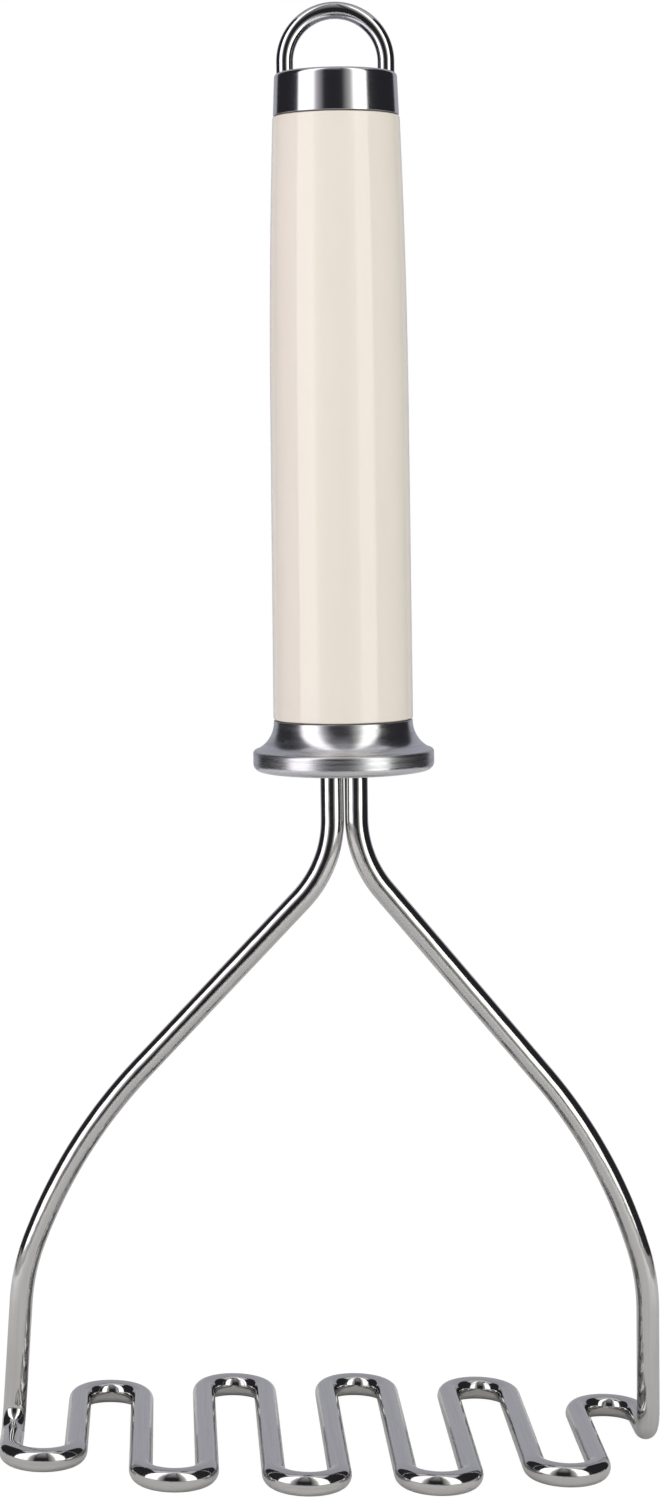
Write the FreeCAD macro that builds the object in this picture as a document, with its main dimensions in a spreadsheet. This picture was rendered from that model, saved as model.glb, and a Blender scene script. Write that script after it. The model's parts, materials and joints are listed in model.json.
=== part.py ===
import FreeCAD, Part
import math
import os
import re

import Sketcher
from FreeCAD import Vector

# A wire masher. One long wire makes the head: two shanks come out of the handle side by side, spread into two
# legs, and meet again in a flat zigzag grid. The handle is a moulded core with a grip shell slid over it,
# clamped between a flared collar below and an end cap above.
#
# Origin: on the surface that the grid rests on, at the middle of the grid.
# +Z: up, square to the grid. +X: along the grid's long side. +Y: away from the leg that turns forward.
# The handle leans a little in the XZ plane about the shoulder, where the two shanks part.

SIZES = (
    # the wire head
    ("wire_diameter", 4.2, "the one wire of the head"),
    ("run_pitch", 11.68, "from one run of the grid to the next"),
    ("reach_end", 18.3, "middle line to the first and last bends"),
    ("reach_second", 24.1, "middle line to the bends beside those"),
    ("reach_third", 28.8, "middle line to the third bends"),
    ("reach_fourth", 29.4, "middle line to the fourth bends"),
    ("reach_middle", 30.3, "middle line to the two middle bends"),
    ("elbow_radius", 5.0, "where a leg turns into the grid"),
    ("splay_angle", 2.3, "lower leg from upright, degrees"),
    ("ankle_height", 29.8, "grid to the corner above the lower leg"),
    ("ankle_radius", 40.0, "the bend there"),
    ("shin_angle", 20.0, "leg between ankle and knee from upright, degrees"),
    ("knee_height", 53.45, "grid to the knee's corner"),
    ("knee_radius", 94.0, "the long bend there, or as much of it as fits above the ankle's"),
    ("shoulder_height", 105.4, "grid to the shoulder, where the shanks part"),
    ("shoulder_rise", 0.6, "right shank's bend above the shoulder, and the left one's below it"),
    ("shoulder_radius", 21.0, "the bend there"),
    ("shank_gap", 0.16, "between the two shanks"),
    ("handle_shift", 0.55, "handle's axis left of the middle, at the shoulder"),
    ("lean_angle", 2.22, "handle from upright, degrees"),
    # the stack along the handle's axis, from the shoulder up
    ("exposed_shank", 16.8, "shoulder to the collar's underside"),
    ("collar_height", 9.1, "collar"),
    ("seal_thickness", 0.2, "each of the two seals"),
    ("shell_length", 106.7, "grip shell"),
    ("cap_height", 7.4, "end cap"),
    # collar
    ("rim_overhang", 3.78, "rim beyond the neck, on the radius"),
    ("rim_height", 3.85, "underside to the crease"),
    ("rim_lower_round", 1.4, "rounding at the underside"),
    ("rim_upper_round", 0.65, "rounding at the crease"),
    ("neck_step", 0.05, "neck inside the grip's edge, on the radius"),
    ("neck_land", 0.25, "straight part above the flare"),
    # grip shell
    ("grip_end_diameter", 25.1, "grip at the collar"),
    ("grip_waist_diameter", 24.7, "grip where its taper begins"),
    ("grip_top_diameter", 22.5, "grip at the cap"),
    ("waist_height", 55.0, "grip's lower end to the waist"),
    ("grip_edge_round", 0.3, "rounding of the grip's two ends"),
    # core, sleeve and pin
    ("core_diameter", 16.8, "spindle inside the grip"),
    ("flange_overhang", 2.0, "flange that hooks under the collar, beyond the spindle"),
    ("flange_thickness", 2.0, "that flange"),
    ("flange_inset", 0.2, "flange below the collar's underside"),
    ("register_height", 1.2, "core's end inside the cap"),
    ("rib_thickness", 3.0, "each arm of the core's cross"),
    ("root_web", 8.0, "solid core above the shanks' ends"),
    ("boss_web", 8.5, "solid core below the insert"),
    ("sleeve_length", 40.0, "steel sleeve round the shanks"),
    ("sleeve_wall", 0.9, "its wall"),
    ("shank_tail", 2.0, "shanks beyond the sleeve"),
    ("pin_diameter", 2.5, "cross pin"),
    ("pin_height", 26.0, "core's lower end to the pin"),
    ("pin_inset", 0.3, "pin's ends below the core's surface"),
    # insert, stud and cap
    ("insert_wall", 0.95, "threaded insert's wall"),
    ("insert_length", 9.0, "threaded insert"),
    ("insert_inset", 0.5, "insert below the core's top"),
    ("insert_groove", 0.5, "depth of the groove that keys it"),
    ("stud_diameter", 5.0, "M5 stud, drawn without its thread"),
    ("stud_grip", 8.0, "stud inside the insert"),
    ("end_chamfer", 0.4, "on the pin's and stud's ends"),
    ("cap_step", 0.1, "cap inside the grip's edge, on the radius"),
    ("cap_taper", 0.27, "loss of radius up the cap"),
    ("cap_top_round", 0.8, "rounding of the cap's top edge"),
    ("cap_recess", 2.0, "depth of the recess that takes the core"),
    ("cap_crown", 1.2, "cap's metal above the stud"),
    ("seal_inset", 0.35, "seal inside its neighbours' edge"),
    # loop
    ("rod_diameter", 3.0, "hanging loop's rod"),
    ("loop_inset", 1.92, "cap's top edge to a foot's centre"),
    ("loop_straight", 1.95, "cap's top to where the half circle starts"),
    ("foot_floor", 0.9, "cap's metal under each foot"),
    # fits
    ("fit_gap", 0.05, "clearance on a side between fitted pieces"),
)

doc = FreeCAD.newDocument("Masher")
sheet = doc.addObject("Spreadsheet::Sheet", "Sizes")
for row, (alias, number, meaning) in enumerate(SIZES, start=1):
    sheet.set(f"A{row}", meaning)
    sheet.set(f"B{row}", str(number))
    sheet.setAlias(f"B{row}", alias)
doc.recompute()

# Sizes worked out from the sheet. Every name in the sheet has an underscore, which no function's name has.
WIRE_RADIUS = "wire_diameter / 2"
GRID_LEVEL = WIRE_RADIUS
SHANK_SPACING = "(wire_diameter + shank_gap)"
CORE_BORE = "(core_diameter / 2 + fit_gap)"
FLANGE_RADIUS = "(core_diameter / 2 + flange_overhang)"
SLEEVE_BORE = "(wire_diameter / 2 + fit_gap)"
SLEEVE_RADIUS = f"({SLEEVE_BORE} + sleeve_wall)"
PIN_BORE = "(pin_diameter / 2 + fit_gap)"
INSERT_BORE = "(stud_diameter / 2 + fit_gap)"
INSERT_RADIUS = f"({INSERT_BORE} + insert_wall)"
STUD_SEAT = "(cap_height - cap_recess - cap_crown)"
FOOT_DEPTH = "(cap_height - cap_recess - foot_floor)"
NECK_RADIUS = "(grip_end_diameter / 2 - neck_step)"
CAP_BASE_RADIUS = "(grip_top_diameter / 2 - cap_step)"
CAP_TOP_RADIUS = f"({CAP_BASE_RADIUS} - cap_taper)"
LOOP_RADIUS = f"({CAP_TOP_RADIUS} - loop_inset)"

# Heights along the handle's axis, from the shoulder.
CORE_BASE = "exposed_shank + flange_inset"
COLLAR_TOP = "exposed_shank + collar_height"
SHELL_BASE = f"{COLLAR_TOP} + seal_thickness"
SHELL_TOP = f"{SHELL_BASE} + shell_length"
CAP_BASE = f"{SHELL_TOP} + seal_thickness"
CAP_TOP = f"{CAP_BASE} + cap_height"
CORE_TOP = f"{CAP_BASE} + register_height"
CORE_LENGTH = f"({CORE_TOP} - ({CORE_BASE}))"
SHANK_TOP = f"{CORE_BASE} + sleeve_length + shank_tail"


def bound(expression):
    """The same expression, with each size read from the sheet."""
    return re.sub(r"\b[a-z]+(_[a-z]+)+\b", r"Sizes.\g<0>", expression)


def size(expression):
    """The expression's value, in millimetres or degrees."""
    return float(sheet.evalExpression(bound(expression)))


def place_on_axis(piece, height, across="0", behind="0", quarter_turn=False):
    """Set a piece at this height on the leaning handle's axis.

    across and behind move it off the axis, along X and Y. A quarter turn lays its own Z towards -Y.
    """
    shoulder = f"vector(-handle_shift; 0; {GRID_LEVEL} + shoulder_height)"
    lean = f"placement({shoulder}; rotation(vector(0; 1; 0); -lean_angle))"
    turn = f"rotation(vector(1; 0; 0); {90 if quarter_turn else 0})"
    seat = f"placement(vector({across}; {behind}; {height}); {turn})"
    piece.setExpression("Placement", bound(f"{lean} * {seat}"))


# ---------------------------------------------------------------- sketches and features

def new_body(label, height):
    body = doc.addObject("PartDesign::Body", label)
    body.Label = label
    place_on_axis(body, height)
    return body


def new_sketch(body, plane, name, height=None):
    """A sketch on one of the body's own planes, raised by height along that plane's normal."""
    sketch = body.newObject("Sketcher::SketchObject", name)
    support = next(feature for feature in body.Origin.OriginFeatures if feature.Role == plane)
    sketch.AttachmentSupport = (support, [""])
    sketch.MapMode = "FlatFace"
    if height is not None:
        sketch.setExpression("AttachmentOffset.Base.z", bound(height))
    return sketch


def bind(sketch, constraint, expression):
    """Add a dimension and bind it to the sheet."""
    index = sketch.addConstraint(constraint)
    sketch.setExpression(f"Constraints[{index}]", bound(expression))


def fix_coordinates(sketch, edge, point, across, up):
    """Hold a point of an edge at two coordinates given as expressions."""
    if across == "0":
        sketch.addConstraint(Sketcher.Constraint("PointOnObject", edge, point, -2))
    else:
        bind(sketch, Sketcher.Constraint("DistanceX", -1, 1, edge, point, size(across)), across)
    if up == "0":
        sketch.addConstraint(Sketcher.Constraint("PointOnObject", edge, point, -1))
    else:
        bind(sketch, Sketcher.Constraint("DistanceY", -1, 1, edge, point, size(up)), up)


def bent_edge(start, end, radius, turn):
    """A short arc between two points that curves to the left (turn 1) or to the right (turn -1)."""
    chord = end - start
    left = Vector(-chord.y, chord.x, 0).normalize()
    offset = math.sqrt(radius ** 2 - (chord.Length / 2) ** 2)
    centre = start + chord / 2 + left * (turn * offset)
    first, last = (start, end) if turn > 0 else (end, start)
    angles = [math.atan2(point.y - centre.y, point.x - centre.x) for point in (first, last)]
    if angles[1] < angles[0]:
        angles[1] += 2 * math.pi
    return Part.ArcOfCircle(Part.Circle(centre, Vector(0, 0, 1), radius), *angles)


def draw_outline(sketch, corners, arcs=None, closed=True):
    """Draw an outline through corners given as pairs of expressions.

    arcs holds the edges that bend: the index of the edge's first corner, then its radius and its turn.
    """
    arcs = arcs or {}
    points = [Vector(size(across), size(up), 0) for across, up in corners]
    count = len(points) if closed else len(points) - 1
    ends = []
    for index in range(count):
        start = points[index]
        end = points[(index + 1) % len(points)]
        if index in arcs:
            radius, turn = arcs[index]
            edge = sketch.addGeometry(bent_edge(start, end, size(radius), turn), False)
            bind(sketch, Sketcher.Constraint("Radius", edge, size(radius)), radius)
            ends.append((edge, 1, 2) if turn > 0 else (edge, 2, 1))
        else:
            edge = sketch.addGeometry(Part.LineSegment(start, end), False)
            ends.append((edge, 1, 2))
    for (edge, first, last), corner in zip(ends, corners):
        fix_coordinates(sketch, edge, first, *corner)
    for (edge, first, last), (following, start, end) in zip(ends, ends[1:] + ends[:closed]):
        sketch.addConstraint(Sketcher.Constraint("Coincident", edge, last, following, start))
    if not closed:
        fix_coordinates(sketch, ends[-1][0], ends[-1][2], *corners[-1])


def draw_circle(sketch, across, radius):
    """A circle on the sketch's first axis."""
    circle = Part.Circle(Vector(size(across), 0, 0), Vector(0, 0, 1), size(radius))
    edge = sketch.addGeometry(circle, False)
    fix_coordinates(sketch, edge, 3, across, "0")
    bind(sketch, Sketcher.Constraint("Radius", edge, size(radius)), radius)
    return edge


def draw_circle_pair(sketch, across, radius):
    """Two equal circles on the first axis, one each side of the origin."""
    first = draw_circle(sketch, across, radius)
    opposite = Part.Circle(Vector(-size(across), 0, 0), Vector(0, 0, 1), size(radius))
    second = sketch.addGeometry(opposite, False)
    sketch.addConstraint(Sketcher.Constraint("Symmetric", first, 3, second, 3, -1, 1))
    sketch.addConstraint(Sketcher.Constraint("Equal", first, second))


def draw_obround(sketch, spacing, radius):
    """Two half circles this far apart along the first axis, joined by straight flanks."""
    half = size(spacing) / 2
    r = size(radius)
    axis = Vector(0, 0, 1)
    right_end = Part.ArcOfCircle(Part.Circle(Vector(half, 0, 0), axis, r), -math.pi / 2, math.pi / 2)
    left_end = Part.ArcOfCircle(Part.Circle(Vector(-half, 0, 0), axis, r), math.pi / 2, 1.5 * math.pi)
    right = sketch.addGeometry(right_end, False)
    upper = sketch.addGeometry(Part.LineSegment(Vector(half, r, 0), Vector(-half, r, 0)), False)
    left = sketch.addGeometry(left_end, False)
    lower = sketch.addGeometry(Part.LineSegment(Vector(-half, -r, 0), Vector(half, -r, 0)), False)
    for edge, following in ((right, upper), (upper, left), (left, lower), (lower, right)):
        sketch.addConstraint(Sketcher.Constraint("Tangent", edge, 2, following, 1))
    sketch.addConstraint(Sketcher.Constraint("Equal", right, left))
    sketch.addConstraint(Sketcher.Constraint("Symmetric", right, 3, left, 3, -1, 1))
    sketch.addConstraint(Sketcher.Constraint("PointOnObject", right, 3, -1))
    bind(sketch, Sketcher.Constraint("DistanceX", left, 3, right, 3, 2 * half), spacing)
    bind(sketch, Sketcher.Constraint("Radius", right, r), radius)


def revolve(body, sketch):
    feature = body.newObject("PartDesign::Revolution", f"{body.Name}_turned")
    feature.Profile = sketch
    feature.ReferenceAxis = (sketch, ["V_Axis"])
    feature.Angle = 360
    doc.recompute()
    return feature


def pad(body, sketch, length, symmetric=False):
    feature = body.newObject("PartDesign::Pad", f"{sketch.Name}_pad")
    feature.Profile = sketch
    feature.setExpression("Length", bound(length))
    feature.SideType = "Symmetric" if symmetric else "One side"
    doc.recompute()
    return feature


def pocket(body, sketch, depth, upward=False, symmetric=False):
    """Cut a sketch's outline down from its plane, or up from it, and check that it removed something."""
    base = body.Tip
    feature = body.newObject("PartDesign::Pocket", f"{sketch.Name}_cut")
    feature.Profile = sketch
    feature.setExpression("Length", bound(depth))
    feature.SideType = "Symmetric" if symmetric else "One side"
    feature.Reversed = upward
    doc.recompute()
    if feature.Shape.Volume > base.Shape.Volume - 0.01:
        raise RuntimeError(f"{feature.Name} cuts nothing")
    return feature


def ring_edges(feature, radius, height):
    """The names of the circular edges of this radius at this height."""
    names = []
    for index, edge in enumerate(feature.Shape.Edges, start=1):
        curve = edge.Curve
        if not isinstance(curve, Part.Circle):
            continue
        if abs(curve.Radius - size(radius)) < 0.001 and abs(curve.Center.z - size(height)) < 0.001:
            names.append(f"Edge{index}")
    return names


def round_edges(body, feature, rings, radius):
    """Round circular edges, each given as its radius and its height."""
    names = [name for ring in rings for name in ring_edges(feature, *ring)]
    fillet = body.newObject("PartDesign::Fillet", f"{body.Name}_round")
    fillet.Base = (feature, names)
    fillet.setExpression("Radius", bound(radius))
    doc.recompute()
    return fillet


def chamfer_ends(body, feature):
    """Break every circular edge of a plain round bar."""
    edges = enumerate(feature.Shape.Edges, start=1)
    names = [f"Edge{index}" for index, edge in edges if isinstance(edge.Curve, Part.Circle)]
    chamfer = body.newObject("PartDesign::Chamfer", f"{body.Name}_chamfer")
    chamfer.Base = (feature, names)
    chamfer.setExpression("Size", bound("end_chamfer"))
    doc.recompute()


# ---------------------------------------------------------------- the wire head

# The grid's bends from each end to the middle.
REACHES = ("end", "second", "third", "fourth", "middle")


def handle_point(across, along):
    """A point in the plane of the legs: across the handle's axis, and along it from the shoulder."""
    lean = math.radians(size("lean_angle"))
    x = across * math.cos(lean) - along * math.sin(lean)
    z = across * math.sin(lean) + along * math.cos(lean)
    return Vector(x - size("handle_shift"), 0, z + size(f"{GRID_LEVEL} + shoulder_height"))


def bend_reach(before, corner, after, radius=1.0):
    """How far a bend of this radius reaches from its corner along each run."""
    return radius * math.tan((corner - before).getAngle(after - corner) / 2)


def leg_corners(side):
    """One leg's corners and bend radii, from its shank's end down to the grid. side is -1 for the left."""
    level = size(GRID_LEVEL)
    half_grid = len(REACHES) * size("run_pitch")
    half_shanks = size(SHANK_SPACING) / 2
    ankle_height = size("ankle_height")
    ankle_across = half_grid - ankle_height * math.tan(math.radians(size("splay_angle")))
    knee_height = size("knee_height")
    knee_across = ankle_across - (knee_height - ankle_height) * math.tan(math.radians(size("shin_angle")))

    end = handle_point(side * half_shanks, size(SHANK_TOP))
    shoulder = handle_point(side * half_shanks, side * size("shoulder_rise"))
    knee = Vector(side * knee_across, 0, level + knee_height)
    ankle = Vector(side * ankle_across, 0, level + ankle_height)
    elbow = Vector(side * half_grid, 0, level)
    room = (knee - ankle).Length - bend_reach(knee, ankle, elbow, size("ankle_radius"))
    knee_radius = min(size("knee_radius"), room / bend_reach(shoulder, knee, ankle))
    return [
        (end, 0),
        (shoulder, size("shoulder_radius")),
        (knee, knee_radius),
        (ankle, size("ankle_radius")),
        (elbow, size("elbow_radius")),
    ]


def wire_corners():
    """The corners of the wire's centre line with their bend radii, from one shank's end to the other's."""
    level = size(GRID_LEVEL)
    pitch = size("run_pitch")
    reaches = [size(f"reach_{name}") for name in REACHES]
    half_grid = len(reaches) * pitch

    grid = []
    for bend, reach in enumerate(reaches + reaches[::-1]):
        x = bend * pitch - half_grid
        y = reach if bend % 2 else -reach
        grid.append((Vector(x, y, level), pitch / 2))
        grid.append((Vector(x + pitch, y, level), pitch / 2))
    return leg_corners(-1) + grid + leg_corners(1)[::-1]


def rounded_path(corners):
    """Straight runs through the corners, joined by tangent arcs of each corner's radius."""
    edges = []
    start = corners[0][0]
    for (before, _), (corner, radius), (after, _) in zip(corners, corners[1:], corners[2:]):
        inward = (corner - before).normalize()
        outward = (after - corner).normalize()
        half_turn = inward.getAngle(outward) / 2
        setback = radius * math.tan(half_turn)
        to_centre = (outward - inward).normalize()
        middle = corner + to_centre * (radius / math.cos(half_turn) - radius)
        arc_start = corner - inward * setback
        arc_end = corner + outward * setback
        if (arc_start - start).Length > 0.001:
            edges.append(Part.LineSegment(start, arc_start).toShape())
        edges.append(Part.Arc(arc_start, middle, arc_end).toShape())
        start = arc_end
    edges.append(Part.LineSegment(start, corners[-1][0]).toShape())
    return Part.Wire(edges)


def make_mashing_wire():
    """The wire, with a half-round notch for the cross pin in the facing sides of its two shanks."""
    path = doc.addObject("Part::Feature", "wire_path")
    path.Shape = rounded_path(wire_corners())

    section = doc.addObject("Part::Circle", "wire_section")
    section.setExpression("Radius", bound(WIRE_RADIUS))
    place_on_axis(section, SHANK_TOP, across=f"-{SHANK_SPACING} / 2")

    bar = doc.addObject("Part::Sweep", "wire_bar")
    bar.Sections = [section]
    bar.Spine = (path, [f"Edge{index + 1}" for index in range(len(path.Shape.Edges))])
    bar.Solid = True
    bar.Frenet = False

    notch = doc.addObject("Part::Cylinder", "wire_notch")
    notch.setExpression("Radius", bound(PIN_BORE))
    notch.setExpression("Height", bound("2 * wire_diameter"))
    place_on_axis(notch, f"{CORE_BASE} + pin_height", behind="wire_diameter", quarter_turn=True)

    wire = doc.addObject("Part::Cut", "mashing_wire")
    wire.Base = bar
    wire.Tool = notch
    return wire


# ---------------------------------------------------------------- what joins the wire to the handle

def make_shank_sleeve():
    """A flat-sided tube round both shanks, with a cross hole for the pin."""
    body = new_body("shank_sleeve", CORE_BASE)
    section = new_sketch(body, "XY_Plane", "sleeve_section")
    draw_obround(section, SHANK_SPACING, SLEEVE_RADIUS)
    draw_obround(section, SHANK_SPACING, SLEEVE_BORE)
    pad(body, section, "sleeve_length")
    cut_cross_hole(body)
    return body


def cut_cross_hole(body):
    """The pin's hole, straight through along Y, in a piece whose base is the core's."""
    hole = new_sketch(body, "XZ_Plane", f"{body.Name}_cross_hole")
    circle = Part.Circle(Vector(0, size("pin_height"), 0), Vector(0, 0, 1), size(PIN_BORE))
    edge = hole.addGeometry(circle, False)
    fix_coordinates(hole, edge, 3, "0", "pin_height")
    bind(hole, Sketcher.Constraint("Radius", edge, size(PIN_BORE)), PIN_BORE)
    pocket(body, hole, "2 * core_diameter", symmetric=True)


def make_shank_pin():
    body = new_body("shank_pin", f"{CORE_BASE} + pin_height")
    section = new_sketch(body, "XZ_Plane", "pin_section")
    draw_circle(section, "0", "pin_diameter / 2")
    bar = pad(body, section, "core_diameter - 2 * pin_inset", symmetric=True)
    chamfer_ends(body, bar)
    return body


def make_handle_core():
    """A spindle that hooks under the collar, solid at both ends and a cross between them."""
    body = new_body("handle_core", CORE_BASE)
    outline = new_sketch(body, "XZ_Plane", "core_outline")
    draw_outline(outline, [
        ("0", "0"),
        (FLANGE_RADIUS, "0"),
        (FLANGE_RADIUS, "flange_thickness"),
        ("core_diameter / 2", "flange_thickness"),
        ("core_diameter / 2", CORE_LENGTH),
        ("0", CORE_LENGTH),
    ])
    revolve(body, outline)

    channel = new_sketch(body, "XY_Plane", "shank_channel")
    draw_obround(channel, SHANK_SPACING, f"({SLEEVE_RADIUS} + fit_gap)")
    pocket(body, channel, "sleeve_length + shank_tail + fit_gap", upward=True)
    cut_cross_hole(body)

    socket = new_sketch(body, "XY_Plane", "insert_socket", CORE_LENGTH)
    draw_circle(socket, "0", f"{INSERT_RADIUS} + fit_gap")
    pocket(body, socket, "insert_inset + insert_length + fit_gap")

    window_top = f"{CORE_LENGTH} - insert_inset - insert_length - boss_web"
    window_bottom = "(sleeve_length + shank_tail + root_web)"
    quarter = new_sketch(body, "XY_Plane", "core_window", window_top)
    near = "rib_thickness / 2"
    far = "core_diameter"
    draw_outline(quarter, [(near, near), (far, near), (far, far), (near, far)])
    window = pocket(body, quarter, f"{window_top} - {window_bottom}")
    windows = body.newObject("PartDesign::PolarPattern", "core_windows")
    windows.Originals = [window]
    windows.Axis = (quarter, ["N_Axis"])
    windows.Angle = 360
    windows.Occurrences = 4
    body.Tip = windows
    doc.recompute()
    return body


# ---------------------------------------------------------------- the outside of the handle

def make_collar():
    """A flared ring with a rounded rim. Its underside is recessed for the core's flange."""
    body = new_body("collar", "exposed_shank")
    neck = NECK_RADIUS
    rim = f"({neck} + rim_overhang)"
    bore = CORE_BORE
    recess = f"({FLANGE_RADIUS} + fit_gap)"
    recess_depth = "flange_inset + flange_thickness + fit_gap"
    flare_top = "(collar_height - neck_land)"
    flare_across = f"({rim} - rim_upper_round - {neck})"
    flare_up = f"({flare_top} - rim_height)"
    # this radius leaves the flare upright where it meets the neck
    flare_radius = f"({flare_across} ^ 2 + {flare_up} ^ 2) / (2 * {flare_across})"

    outline = new_sketch(body, "XZ_Plane", "collar_outline")
    draw_outline(outline, [
        (recess, "0"),
        (f"{rim} - rim_lower_round", "0"),
        (rim, "rim_lower_round"),
        (rim, "rim_height - rim_upper_round"),
        (f"{rim} - rim_upper_round", "rim_height"),
        (neck, flare_top),
        (neck, "collar_height"),
        (bore, "collar_height"),
        (bore, recess_depth),
        (recess, recess_depth),
    ], {1: ("rim_lower_round", 1), 3: ("rim_upper_round", 1), 4: (flare_radius, -1)})
    revolve(body, outline)
    return body


def make_handle_shell():
    """The grip: a thick tube, nearly straight below the waist and drawn in by a long arc above it."""
    body = new_body("handle_shell", SHELL_BASE)
    end = "grip_end_diameter / 2"
    waist = "grip_waist_diameter / 2"
    top = "grip_top_diameter / 2"
    rise = "(shell_length - grip_edge_round - waist_height)"
    slope = f"(({end} - {waist}) / (waist_height - grip_edge_round))"
    # the arc leaves the waist along the line below it and reaches the top's radius
    drop = f"({waist} - {top} - {slope} * {rise})"
    arc_radius = f"({rise} ^ 2 + ({waist} - {top}) ^ 2) / (2 * {drop}) * sqrt(1 + {slope} ^ 2)"

    outline = new_sketch(body, "XZ_Plane", "shell_outline")
    draw_outline(outline, [
        (CORE_BORE, "0"),
        (f"{end} - grip_edge_round", "0"),
        (end, "grip_edge_round"),
        (waist, "waist_height"),
        (top, "shell_length - grip_edge_round"),
        (f"{top} - grip_edge_round", "shell_length"),
        (CORE_BORE, "shell_length"),
    ], {1: ("grip_edge_round", 1), 3: (arc_radius, 1), 4: ("grip_edge_round", 1)})
    revolve(body, outline)
    return body


def make_seal(label, height, neighbour_radius):
    """A flat ring that fills the seam between the grip and its metal neighbour."""
    body = new_body(label, height)
    section = new_sketch(body, "XY_Plane", f"{label}_section")
    draw_circle(section, "0", f"{neighbour_radius} - seal_inset")
    draw_circle(section, "0", CORE_BORE)
    pad(body, section, "seal_thickness")
    return body


def make_threaded_insert():
    """A grooved bush for the stud, moulded into the core's top. Its thread is drawn as a plain bore."""
    body = new_body("threaded_insert", f"{CORE_TOP} - insert_inset - insert_length")
    outer = INSERT_RADIUS
    waist = f"({outer} - insert_groove)"
    outline = new_sketch(body, "XZ_Plane", "insert_outline")
    draw_outline(outline, [
        (INSERT_BORE, "0"),
        (outer, "0"),
        (outer, "insert_length / 3"),
        (waist, "insert_length / 3 + insert_groove"),
        (waist, "insert_length * 2 / 3 - insert_groove"),
        (outer, "insert_length * 2 / 3"),
        (outer, "insert_length"),
        (INSERT_BORE, "insert_length"),
    ])
    revolve(body, outline)
    return body


def make_cap_stud():
    """The stud that ties the cap to the core, drawn without its thread."""
    body = new_body("cap_stud", f"{CORE_TOP} - insert_inset - stud_grip")
    section = new_sketch(body, "XY_Plane", "stud_section")
    draw_circle(section, "0", "stud_diameter / 2")
    length = f"stud_grip + insert_inset + cap_recess - register_height + {STUD_SEAT}"
    bar = pad(body, section, length)
    chamfer_ends(body, bar)
    return body


def make_end_cap():
    """A slightly conical cap with a recess for the core and blind holes for the stud and the loop's feet."""
    body = new_body("end_cap", CAP_BASE)
    outline = new_sketch(body, "XZ_Plane", "cap_outline")
    stud_hole_top = f"cap_recess + {STUD_SEAT} + fit_gap"
    draw_outline(outline, [
        (CORE_BORE, "0"),
        (CAP_BASE_RADIUS, "0"),
        (CAP_TOP_RADIUS, "cap_height"),
        ("0", "cap_height"),
        ("0", stud_hole_top),
        (INSERT_BORE, stud_hole_top),
        (INSERT_BORE, "cap_recess"),
        (CORE_BORE, "cap_recess"),
    ])
    cup = revolve(body, outline)
    round_edges(body, cup, [(CAP_TOP_RADIUS, "cap_height")], "cap_top_round")

    feet = new_sketch(body, "XY_Plane", "foot_holes", "cap_height")
    draw_circle_pair(feet, LOOP_RADIUS, "rod_diameter / 2 + fit_gap")
    pocket(body, feet, f"{FOOT_DEPTH} + fit_gap")
    return body


def make_hanging_loop():
    """A round rod bent into a half circle, with straight feet."""
    body = new_body("hanging_loop", f"{CAP_TOP} - {FOOT_DEPTH}")
    path = new_sketch(body, "XZ_Plane", "loop_path")
    foot_length = f"{FOOT_DEPTH} + loop_straight"
    radius = size(LOOP_RADIUS)
    height = size(foot_length)
    right_foot = path.addGeometry(Part.LineSegment(Vector(radius, 0, 0), Vector(radius, height, 0)), False)
    circle = Part.Circle(Vector(0, height, 0), Vector(0, 0, 1), radius)
    bow = path.addGeometry(Part.ArcOfCircle(circle, 0, math.pi), False)
    left_foot = path.addGeometry(Part.LineSegment(Vector(-radius, height, 0), Vector(-radius, 0, 0)), False)
    path.addConstraint(Sketcher.Constraint("Tangent", right_foot, 2, bow, 1))
    path.addConstraint(Sketcher.Constraint("Tangent", bow, 2, left_foot, 1))
    path.addConstraint(Sketcher.Constraint("Vertical", right_foot))
    path.addConstraint(Sketcher.Constraint("Vertical", left_foot))
    path.addConstraint(Sketcher.Constraint("PointOnObject", left_foot, 2, -1))
    path.addConstraint(Sketcher.Constraint("PointOnObject", right_foot, 1, -1))
    fix_coordinates(path, bow, 3, "0", foot_length)
    bind(path, Sketcher.Constraint("Radius", bow, radius), LOOP_RADIUS)

    section = new_sketch(body, "XY_Plane", "rod_section")
    draw_circle(section, LOOP_RADIUS, "rod_diameter / 2")
    rod = body.newObject("PartDesign::AdditivePipe", "loop_rod")
    rod.Profile = section
    rod.Spine = (path, ["Edge1", "Edge2", "Edge3"])
    doc.recompute()
    return body


# ---------------------------------------------------------------- build, check and write

pieces = [
    make_mashing_wire(),
    make_shank_sleeve(),
    make_shank_pin(),
    make_handle_core(),
    make_collar(),
    make_seal("collar_seal", COLLAR_TOP, NECK_RADIUS),
    make_handle_shell(),
    make_threaded_insert(),
    make_cap_stud(),
    make_seal("cap_seal", SHELL_TOP, CAP_BASE_RADIUS),
    make_end_cap(),
    make_hanging_loop(),
]
doc.recompute()

failed = [item.Name for item in doc.Objects if "Invalid" in item.State or "Error" in item.State]
if failed:
    raise RuntimeError(f"failed objects: {failed}")
for piece in pieces:
    if piece.Shape.isNull() or not piece.Shape.isValid() or len(piece.Shape.Solids) != 1:
        raise RuntimeError(f"{piece.Label} is not one valid solid")

os.makedirs("parts", exist_ok=True)
for piece in pieces:
    piece.Shape.exportStep(os.path.join("parts", f"{piece.Label}.step"))
    print(f"{piece.Label}: {piece.Shape.Volume:.1f} mm3")
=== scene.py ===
import json
import math

import bpy
from bpy.props import FloatProperty, FloatVectorProperty, IntProperty, PointerProperty
from mathutils import Matrix, Quaternion, Vector


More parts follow.
